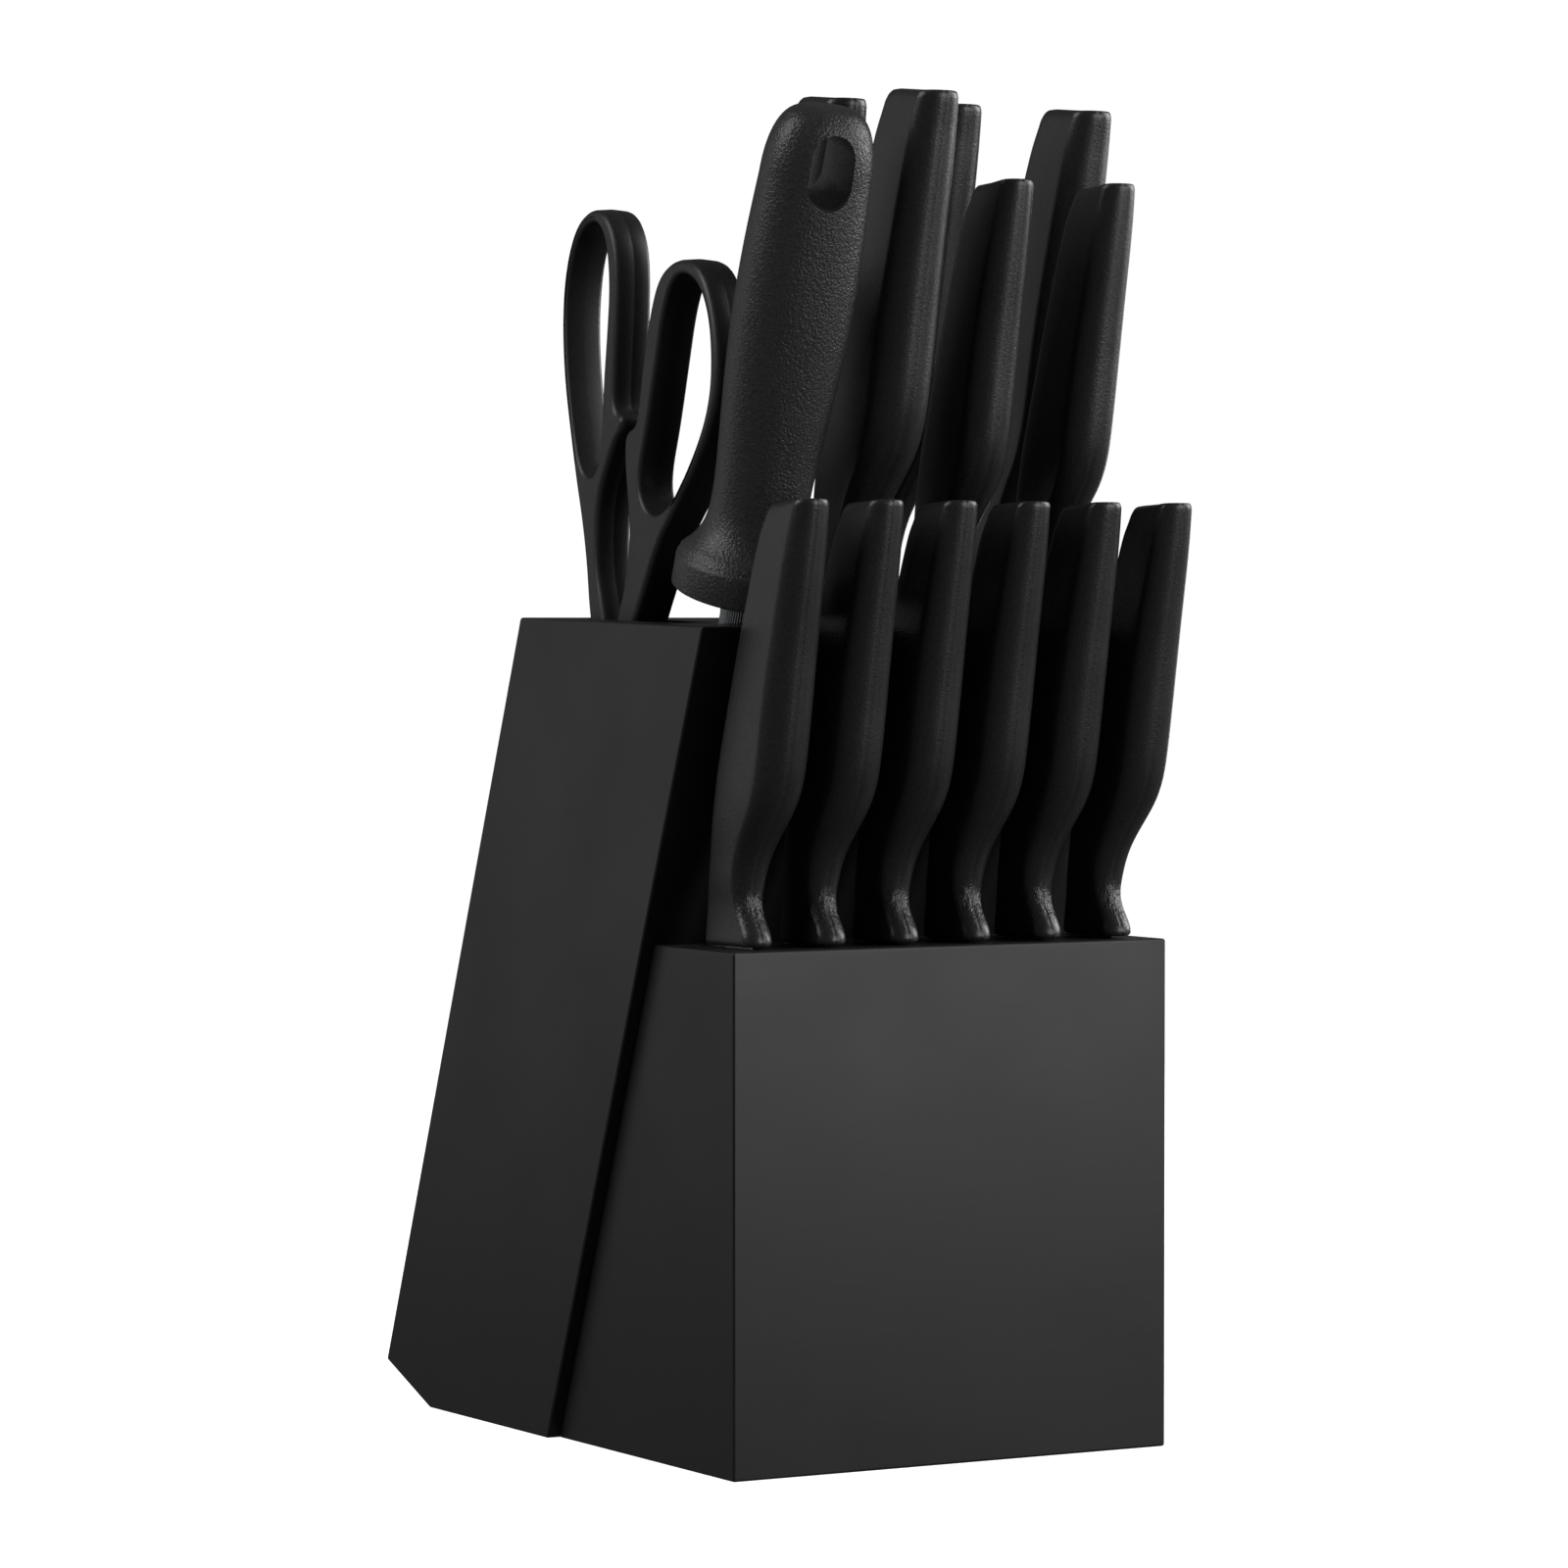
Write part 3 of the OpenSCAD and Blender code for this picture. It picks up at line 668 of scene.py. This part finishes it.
class KNIFEBLOCK_OT_blades(bpy.types.Operator):
    """Build the twelve ground blades with their tangs"""
    bl_idname = "knife_block.blades"
    bl_label = "Blades"

    def execute(self, context):
        settings = context.scene.knife_block_blades
        material = ground_steel("ground_blade_steel", settings)
        for knife in LARGE_KNIVES + SMALL_KNIVES:
            node = f"{knife}_blade"
            low, high = box_mm(node)
            foot, top = box_mm(f"{knife}_handle")
            scale = (top[0] - foot[0]) / HANDLE_THICK
            place = ((low[0] + high[0]) / 2, top[1] - FOOT_BACK * scale, foot[2])
            sizes = BLADES["steak_knife" if "steak" in knife else knife]
            points = blade_points(np.array(place), sizes, high[0] - low[0],
                                  (TANG_HALF * scale, TANG_LEN * scale),
                                  settings.edge_thickness / MM)
            ring_piece(f"{knife}_ground_blade", points, material, knife, [node], "blade_steel",
                       25)
        return {"FINISHED"}


# ---- Sharpening steel ----

STEEL_LEAN = math.radians(19)
STEEL_TURN = math.radians(6)
# [height up the handle, half width across the broad faces, half depth between them, squareness]
STEEL_RINGS = np.array([
    [8.5, 17.6, 17.6, 2.0], [9.6, 16.9, 16.7, 2.0], [11, 15.6, 15.1, 2.0],
    [15, 12.9, 12.1, 2.05], [20, 11.7, 10.4, 2.15], [26, 11.5, 9.8, 2.3],
    [38, 12.2, 9.9, 2.4], [52, 13.3, 10.3, 2.4], [70, 14.1, 10.4, 2.4],
    [88, 13.9, 9.9, 2.4], [101, 13.3, 9.3, 2.35],
])
# Heights of the neck over the guard, the grip's first ring, the dome's foot and the top
NECK, GRIP_FROM, DOME_FOOT, STEEL_LEN = 9.6, 11, 101, 118
# Depth of the CAD rod in the handle, of the finished one, and the rod's length below
ROD_SEAT, ROD_TOP, ROD_LEN = 62, 58, 197.7
RIBS = 52
# Width and length of the hanging hole, and its middle's depth below the handle's top
HANG_W, HANG_LEN, HANG_FROM_TOP = 10.5, 17, 13.7


def steel_axis():
    """Foot of the steel's handle, the unit vector up its axis, the unit vectors across and
    through its broad faces, and the rod's radius. The rod's top end is a flat disc inside the
    handle: its front rim is the rod's front-most point and its back rim the highest."""
    low, high = box_mm("steel_rod")
    up = np.array([0, -math.sin(STEEL_LEAN), math.cos(STEEL_LEAN)])
    back = np.array([0, math.cos(STEEL_LEAN), math.sin(STEEL_LEAN)])
    right = np.array([1.0, 0, 0])
    turn_c, turn_s = math.cos(STEEL_TURN), math.sin(STEEL_TURN)
    across, through = right * turn_c - back * turn_s, right * turn_s + back * turn_c
    rod_r = (high[0] - low[0]) / 2
    top = np.array([(low[0] + high[0]) / 2, low[1] + rod_r * math.cos(STEEL_LEAN),
                    high[2] - rod_r * math.sin(STEEL_LEAN)])
    foot = top - up * ROD_SEAT
    return foot, up, across, through, rod_r


def steel_handle_points(foot, up, across, through):
    """Rings up the handle: a flat underside, a rounded rim, then superellipses whose half width,
    half depth and squareness follow the spline through STEEL_RINGS, and a dome on which both
    halves shrink as a quarter ellipse."""
    rim = np.radians([0, 30, 60, 90])
    rise = np.concatenate([[NECK], np.linspace(GRIP_FROM, DOME_FOOT, 70)])
    grip = spline_through(STEEL_RINGS[:, 0], STEEL_RINGS[:, 1:], rise)
    dome = np.radians(np.concatenate([np.arange(4, 84, 5), [84, 87, 89, 90]]))
    heights = np.concatenate([
        [0, 0, 0.2], 0.9 - 0.7 * np.cos(rim), [7.3, 8.1, 8.5, 8.75], rise,
        DOME_FOOT + (STEEL_LEN - DOME_FOOT) * np.sin(dome)])
    guard = np.concatenate([
        [0, 15.8, 16.4], 16.8 + 0.8 * np.sin(rim), [17.6, 17.45, 17.1, 16.95]])
    shrink = np.cos(dome) ** 0.5
    half, deep = (np.concatenate([guard, g, g[-1] * shrink]) for g in grip[:, :2].T)
    square = np.concatenate([
        np.full(len(guard), 2.0), grip[:, 2], np.full(len(dome), grip[-1, 2])])
    angle = np.linspace(0, 2 * math.pi, 96, endpoint=False)[None, :]
    power = 2 / square[:, None]
    c, s = np.cos(angle), np.sin(angle)
    x = half[:, None] * np.sign(c) * np.abs(c) ** power
    y = deep[:, None] * np.sign(s) * np.abs(s) ** power
    return foot + x[..., None] * across + y[..., None] * through + heights[:, None, None] * up


def hanging_cutter(middle, up, across, through):
    """A stadium tube through the broad faces, flared at both mouths so that the rims are round."""
    depth = np.array([-24, -11.2, -10, -9, -8, -6.5, -5, 5, 6.5, 8, 9, 10, 11.2, 24.0])
    flare = np.interp(np.abs(depth), [5, 8, 9, 10, 11.2, 24], [0, .05, .3, .9, 2, 16])
    a = np.linspace(0, 2 * math.pi, 64, endpoint=False)
    lift = np.where(np.sin(a) >= 0, 1, -1) * (HANG_LEN - HANG_W) / 2
    radius = (HANG_W / 2 + flare)[:, None]
    x, z = radius * np.cos(a), radius * np.sin(a) + lift
    rings = middle + x[..., None] * across + z[..., None] * up + depth[:, None, None] * through
    caps = [rings[:1] * 0 + rings[0].mean(0), rings, rings[-1:] * 0 + rings[-1].mean(0)]
    return np.concatenate(caps)


def rod_points(foot, up, across, through, radius, rib_depth):
    """Rings up the rod, each a circle let in by fine ribs: the radius drops by the rib depth
    times the square of a cosine, RIBS times round. The tip is a short cone."""
    heights = np.array([0, 0, 2.3, 2.7, ROD_LEN - 2, ROD_LEN - 1, ROD_LEN + ROD_TOP,
                        ROD_LEN + ROD_TOP]) - ROD_LEN
    size = np.array([0, 0.5, 0.98, 1, 1, 1, 1, 0])
    ribbed = np.array([0, 0, 0.5, 1, 1, 0, 0, 0])
    a = np.linspace(0, 2 * math.pi, 8 * RIBS, endpoint=False)
    r = radius * size[:, None] - rib_depth * ribbed[:, None] * np.cos(RIBS / 2 * a) ** 2
    return (foot + (r * np.cos(a))[..., None] * across + (r * np.sin(a))[..., None] * through
            + heights[:, None, None] * up)


class KNIFEBLOCK_OT_steel(bpy.types.Operator):
    """Build the sharpening steel: a grained handle with a hanging hole, and a ribbed rod"""
    bl_idname = "knife_block.steel"
    bl_label = "Sharpening Steel"

    def execute(self, context):
        settings = context.scene.knife_block_steel
        plastic = moulded_plastic("coarse_grained_polypropylene", settings.plastic_colour,
                                  settings.grain_mm, depth_mm=0.26, roughness=0.32)
        chrome = plated_steel("satin_chrome_plated_steel", settings.chrome_colour,
                              roughness=0.34, blotch_mm=6)
        foot, up, across, through, rod_r = steel_axis()
        points = steel_handle_points(foot, up, across, through)
        handle = ring_piece("steel_grip", points, plastic, "steel", ["steel_handle"],
                            "handle_plastic", 40)
        self.cut_hanging_hole(handle, foot + up * (STEEL_LEN - HANG_FROM_TOP), up, across, through)
        points = rod_points(foot, up, across, through, rod_r, settings.rib_depth / MM)
        ring_piece("steel_ribbed_rod", points, chrome, "steel", ["steel_rod"], "honing_steel", 50)
        return {"FINISHED"}

    @staticmethod
    def cut_hanging_hole(handle, middle, up, across, through):
        """Cuts the hole into the handle's mesh with a tube that is then removed."""
        rings = hanging_cutter(middle, up, across, through)
        mesh = closed_mesh("cutter", rings.reshape(-1, 3), ring_faces(*rings.shape[:2]))
        cutter = bpy.data.objects.new("cutter", mesh)
        bpy.context.scene.collection.objects.link(cutter)
        cut = handle.modifiers.new("hanging_hole", "BOOLEAN")
        cut.operation, cut.solver, cut.object = "DIFFERENCE", "EXACT", cutter
        graph = bpy.context.evaluated_depsgraph_get()
        done = bpy.data.meshes.new_from_object(handle.evaluated_get(graph), depsgraph=graph)
        handle.modifiers.clear()
        handle.data = done
        shade_smooth(done, 45)
        bpy.data.objects.remove(cutter)


# ---- Shears ----

# Outlines in Y and Z from where the shears' axis meets the top of the block
FRONT_LOOP = [
    (-2, 2), (-5, 7), (-8, 20), (-7, 28), (-5.4, 38), (-5.8, 45.5), (-11.4, 47), (-12.4, 51),
    (-15, 63), (-18.5, 74.5), (-22.5, 82), (-29, 85.6), (-37, 86), (-44.5, 83), (-50, 74),
    (-52.5, 63), (-52, 53), (-48.5, 45), (-42, 36.5), (-32, 26.5), (-23, 18), (-17, 8),
    (-13, 2), (-6, -10), (1.4, -10),
]
FRONT_HOLE = [
    (-36, 82.4), (-43, 79), (-47.4, 71), (-48.6, 61), (-47.6, 52), (-43, 43), (-34, 32.5),
    (-27, 26.5), (-19.5, 24.5), (-14, 29), (-13.6, 35.5), (-17.6, 46), (-22, 61),
    (-25.6, 73.5), (-30, 81),
]
BACK_LOOP = [
    (13, 2), (14.2, 13), (16.6, 24), (20, 35), (23, 47), (25.6, 58), (26.8, 69.5),
    (26.4, 79.5), (24, 89.6), (19, 97.4), (11.5, 100.8), (4, 99.4), (-0.8, 93.8),
    (-2.8, 86.6), (-2.6, 75), (-1.4, 63), (-0.4, 50.5), (-5.2, 49.6), (-5.2, 46), (-1, 43),
    (3.4, 36), (6.8, 30), (8.2, 22), (8, 12), (4.6, 2), (2.2, -10), (9.6, -10),
]
BACK_HOLE = [
    (11.4, 97.2), (17.4, 94.2), (21.8, 86.6), (23.6, 77.5), (23.4, 67), (22, 56), (19.4, 45),
    (16.6, 37), (12, 34.4), (7.8, 37.4), (6, 44.6), (5.2, 57), (3.4, 69), (2, 81),
    (3.4, 91.4), (7, 96.2),
]


def rounded_outline(corners, inwards):
    """A closed outline whose corners are cut three times over: each side is replaced by its
    points at one and three quarters. Returned with each point's unit normal into the plastic and
    the turn of the outline there in radians per millimetre, above nil where the plastic is
    convex."""
    points = np.array(corners, float)
    for _ in range(3):
        following = np.roll(points, -1, 0)
        points = np.stack([points * 0.75 + following * 0.25, points * 0.25 + following * 0.75], 1)
        points = points.reshape(-1, 2)
    tangent = np.roll(points, -1, 0) - np.roll(points, 1, 0)
    tangent /= np.linalg.norm(tangent, axis=1)[:, None]
    y, z = points.T
    area = np.sum(y * np.roll(z, -1) - z * np.roll(y, -1))
    side = math.copysign(1, area) * (1 if inwards else -1)
    normal = np.stack([-tangent[:, 1], tangent[:, 0]], 1) * side
    step = np.linalg.norm(np.roll(points, -1, 0) - points, axis=1)
    change = np.cross(np.roll(tangent, 1, 0), tangent) * side
    bend = change / np.maximum(step, 1e-3)
    for _ in range(3):
        bend = (np.roll(bend, 1) + 2 * bend + np.roll(bend, -1)) / 4
    return points, normal, bend


def outline_wall(outline, half, radius, crown, seam):
    """Strips of an outline carried across the thickness: the inset at a place x from the middle
    plane is the crown times x squared over half squared, plus a quarter circle at both edges,
    less where the outline is too tight for it. The middle is let in along the parting line."""
    points, normal, bend = outline
    fits = np.minimum(radius, 0.75 / np.maximum(bend, 1e-3))
    turn = np.radians([90, 67, 45, 22, 0])
    x = np.concatenate([[-half], -half + radius * (1 - np.sin(turn)),
                        [-0.25, 0, 0.25]])
    x = np.concatenate([x, -x[-4:0:-1], [half]])
    edge = np.concatenate([[1.25], 1 - np.cos(turn)])
    edge = np.concatenate([edge, [0, 0, 0], edge[::-1]])
    let_in = crown * (x / half) ** 2 + np.where(x == 0, seam, 0)
    inset = edge[:, None] * fits[None, :] + let_in[:, None]
    flat = points[None] + normal[None] * inset[..., None]
    return np.concatenate([np.broadcast_to(x[:, None, None], (*flat.shape[:2], 1)), flat], -1)


def shear_handle_mesh(loop, hole, place, half, settings):
    """Points and faces of one half's loop: two walls, and flat faces filled between them."""
    radius, crown = settings.edge_radius / MM, settings.crown / MM
    walls = [
        outline_wall(rounded_outline(loop, True), half, radius, crown, 0.08),
        outline_wall(rounded_outline(hole, False), half, radius * 0.8, crown * 0.6, 0),
    ]
    points = np.concatenate([wall.reshape(-1, 3) for wall in walls])
    starts, faces = (0, walls[0].size // 3), []
    for start, wall in zip(starts, walls):
        faces += (np.array(ring_faces(*wall.shape[:2])) + start).tolist()
    for end in (0, -1):
        rows = [start + (len(w) - 1 if end else 0) * w.shape[1] + np.arange(w.shape[1])
                for start, w in zip(starts, walls)]
        index = np.concatenate(rows)
        fill = tessellate_polygon([[Vector((0, *points[i][1:])) for i in row] for row in rows])
        faces += [[int(index[i]) for i in triangle] for triangle in fill]
    return points + place, faces


class KNIFEBLOCK_OT_shears(bpy.types.Operator):
    """Build the shears' two moulded handles, and finish their blades and screw"""
    bl_idname = "knife_block.shears"
    bl_label = "Shears"

    def execute(self, context):
        settings = context.scene.knife_block_shears
        plastic = moulded_plastic("satin_moulded_abs", settings.plastic_colour,
                                  grain_mm=0.45, depth_mm=0.02, roughness=0.42)
        steel = ground_steel("ground_shear_steel", context.scene.knife_block_blades)
        nickel = plated_steel("nickel_plated_steel", linear("#b9babc"),
                              roughness=0.28, blotch_mm=3)
        for side, loop, hole, body in (
            ("front", FRONT_LOOP, FRONT_HOLE, "shears"),
            ("back", BACK_LOOP, BACK_HOLE, "shears_back_half"),
        ):
            node = f"shears_{side}_handle"
            low, high = box_mm(node)
            lowest = np.min(np.array(loop), 0)
            place = np.array([(low[0] + high[0]) / 2, low[1] - lowest[0], low[2] - lowest[1]])
            points, faces = shear_handle_mesh(loop, hole, place, (high[0] - low[0]) / 2, settings)
            make_piece(f"shears_{side}_grip", points, faces, plastic, body, [node],
                       "shears_plastic", 50)
            self.finish_node(f"shears_{side}_blade", steel)
        self.finish_node("shears_pivot_screw", nickel)
        return {"FINISHED"}

    @staticmethod
    def finish_node(node, material):
        """Gives a CAD node that stays its material."""
        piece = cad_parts[node]
        if not piece.data.materials:
            piece.data.materials.append(material)
        for slot in piece.material_slots:
            slot.material = material


# ---- Stage ----

# Lens and sensor in millimetres, the camera's place from the front panel's face in millimetres,
# and the way it looks: yaw to the right of straight on, and pitch
LENS, SENSOR = 133.2, 36
CAMERA_AT = (-719.0, -1165.8, 198.9)
CAMERA_YAW, CAMERA_PITCH = math.radians(29.98), math.radians(-1.58)
# Strengths of the world's light and of the backdrop's
WORLD_LIGHT, BACKDROP_LIGHT = 0.063, 0.93
# Metres from the object's middle line to each light, and the height that they aim at
LIGHT_REACH, LIGHT_AIM = 1.1, 0.17
# Azimuth round the object (0 in front, 90 on the right), height, width and power in watts.
# The lights leave a gap round the camera, so surfaces that face it mirror none and stay dark.
SOFTBOXES = (
    ("key_softbox", 30, 0.3, 0.5, 3.3), ("right_softbox", 78, 0.5, 0.6, 8),
    ("right_high_softbox", 60, 1, 0.5, 2), ("right_rim_softbox", 124, 0.3, 0.5, 1.5),
    ("left_softbox", -95, 0.95, 0.9, 8.4), ("back_softbox", -140, 0.3, 0.7, 0.5),
)


def backdrop_points():
    """A round studio cove: a flat floor 2.6 m in radius that sweeps up through a quarter circle
    of 1.2 m into a wall and closes in a dome. Each ring is a circle round the Z axis."""
    sweep = np.radians(np.arange(0, 91, 10))
    r = np.concatenate([[0, 0.25, 0.8, 1.6], 2.6 + 1.2 * np.sin(sweep), [3.8, 3.3, 2, 0]])
    z = np.concatenate([[0, 0, 0, 0], 1.2 * (1 - np.cos(sweep)), [2.6, 3.8, 4.6, 4.8]])
    a = np.linspace(0, 2 * math.pi, 96, endpoint=False)
    ring = np.stack([np.cos(a), np.sin(a)], -1)
    flat = r[:, None, None] * ring
    height = np.broadcast_to(z[:, None, None], (*flat.shape[:2], 1))
    return np.concatenate([flat, height], -1)


class KNIFEBLOCK_OT_stage(bpy.types.Operator):
    """Set up the camera, the pale cove and the studio lights"""
    bl_idname = "knife_block.stage"
    bl_label = "Stage"

    def execute(self, context):
        settings = context.scene.knife_block_stage
        scene = context.scene
        self.make_camera(scene)
        self.make_backdrop(scene, settings)
        for name, azimuth, height, size, power in SOFTBOXES:
            share = settings.right_power if azimuth >= 0 else settings.left_power
            self.make_light(name, azimuth, height, size, power * share)
        world = bpy.data.worlds.new("studio")
        scene.world = world
        world.use_nodes = True
        sky = world.node_tree.nodes["Background"]
        sky.inputs[0].default_value = (*linear("#ffffff"), 1)
        sky.inputs[1].default_value = WORLD_LIGHT
        scene.view_settings.view_transform = "Standard"
        return {"FINISHED"}

    @staticmethod
    def make_camera(scene):
        """The camera stands at the left of the front, level with the block's top."""
        lens = bpy.data.cameras.new("camera")
        lens.lens, lens.sensor_width = LENS, SENSOR
        camera = bpy.data.objects.new("camera", lens)
        x, y, z = CAMERA_AT
        camera.location = Vector((x, box_mm("front_panel")[0][1] + y, z)) * MM
        level = math.cos(CAMERA_PITCH)
        look = Vector((math.sin(CAMERA_YAW) * level, math.cos(CAMERA_YAW) * level,
                       math.sin(CAMERA_PITCH)))
        camera.rotation_mode = "QUATERNION"
        camera.rotation_quaternion = look.to_track_quat("-Z", "Y")
        scene.collection.objects.link(camera)
        scene.camera = camera

    @staticmethod
    def make_backdrop(scene, settings):
        """Matt white acrylic, lit from within. Only the camera sees it, so it neither lights the
        object nor shows in it."""
        material, tree, shader = new_material(
            "lit_white_acrylic", base_color=(*settings.backdrop_colour, 1), roughness=0.9,
            specular_ior_level=0.0, emission_color=(1, 1, 1, 1),
            emission_strength=BACKDROP_LIGHT)
        grain = pattern(tree, (2, 2, 2))
        tree.links.new(add_node(tree, "ShaderNodeBump", {
            "Height": grain, "Strength": 0.02, "Distance": 0.05 * MM}).outputs[0],
            shader.inputs["Normal"])
        points = backdrop_points()
        mesh = bpy.data.meshes.new("backdrop")
        faces = [f[::-1] for f in ring_faces(*points.shape[:2])]
        mesh.from_pydata(points.reshape(-1, 3).tolist(), [], faces)
        mesh.polygons.foreach_set("use_smooth", np.ones(len(mesh.polygons), bool))
        mesh.materials.append(material)
        floor = bpy.data.objects.new("backdrop", mesh)
        scene.collection.objects.link(floor)
        floor.visible_diffuse = floor.visible_glossy = floor.visible_shadow = False

    @staticmethod
    def make_light(name, azimuth, height, size, power):
        """A square softbox aimed at the object from an azimuth round it."""
        lamp = bpy.data.lights.new(name, "AREA")
        lamp.shape, lamp.size, lamp.energy = "SQUARE", size, power
        light = bpy.data.objects.new(name, lamp)
        turn = math.radians(azimuth)
        light.location = (LIGHT_REACH * math.sin(turn), -LIGHT_REACH * math.cos(turn), height)
        aim = Vector((0, 0, LIGHT_AIM)) - light.location
        light.rotation_mode = "QUATERNION"
        light.rotation_quaternion = aim.to_track_quat("-Z", "Y")
        light.visible_camera = False
        bpy.context.scene.collection.objects.link(light)


# ---- Panel and registration ----

OPERATORS = (
    KNIFEBLOCK_OT_stage, KNIFEBLOCK_OT_block, KNIFEBLOCK_OT_handles, KNIFEBLOCK_OT_blades,
    KNIFEBLOCK_OT_steel, KNIFEBLOCK_OT_shears,
)
SETTINGS = {
    "knife_block_wood": BlockSettings, "knife_block_handles": HandleSettings,
    "knife_block_blades": BladeSettings, "knife_block_steel": SteelSettings,
    "knife_block_shears": ShearsSettings, "knife_block_stage": StageSettings,
}


class KNIFEBLOCK_PT_panel(bpy.types.Panel):
    """Lists the knife block's sizes, colours and builders"""
    bl_label = "Knife Block"
    bl_idname = "KNIFEBLOCK_PT_panel"
    bl_space_type = "VIEW_3D"
    bl_region_type = "UI"
    bl_category = "Knife Block"

    def draw(self, context):
        for name, group in SETTINGS.items():
            box = self.layout.box()
            for prop in group.__annotations__:
                box.prop(getattr(context.scene, name), prop)
        for operator in OPERATORS:
            self.layout.operator(operator.bl_idname)


def register():
    for group in (*SETTINGS.values(), *OPERATORS, KNIFEBLOCK_PT_panel):
        bpy.utils.register_class(group)
    for name, group in SETTINGS.items():
        setattr(bpy.types.Scene, name, PointerProperty(type=group))


def unregister():
    for name in SETTINGS:
        delattr(bpy.types.Scene, name)
    for group in reversed((*SETTINGS.values(), *OPERATORS, KNIFEBLOCK_PT_panel)):
        bpy.utils.unregister_class(group)


def main():
    """Builds everything in order."""
    register()
    bpy.ops.knife_block.stage()
    bpy.ops.knife_block.block()
    bpy.ops.knife_block.handles()
    bpy.ops.knife_block.blades()
    bpy.ops.knife_block.steel()
    bpy.ops.knife_block.shears()


if __name__ == "__main__":
    main()
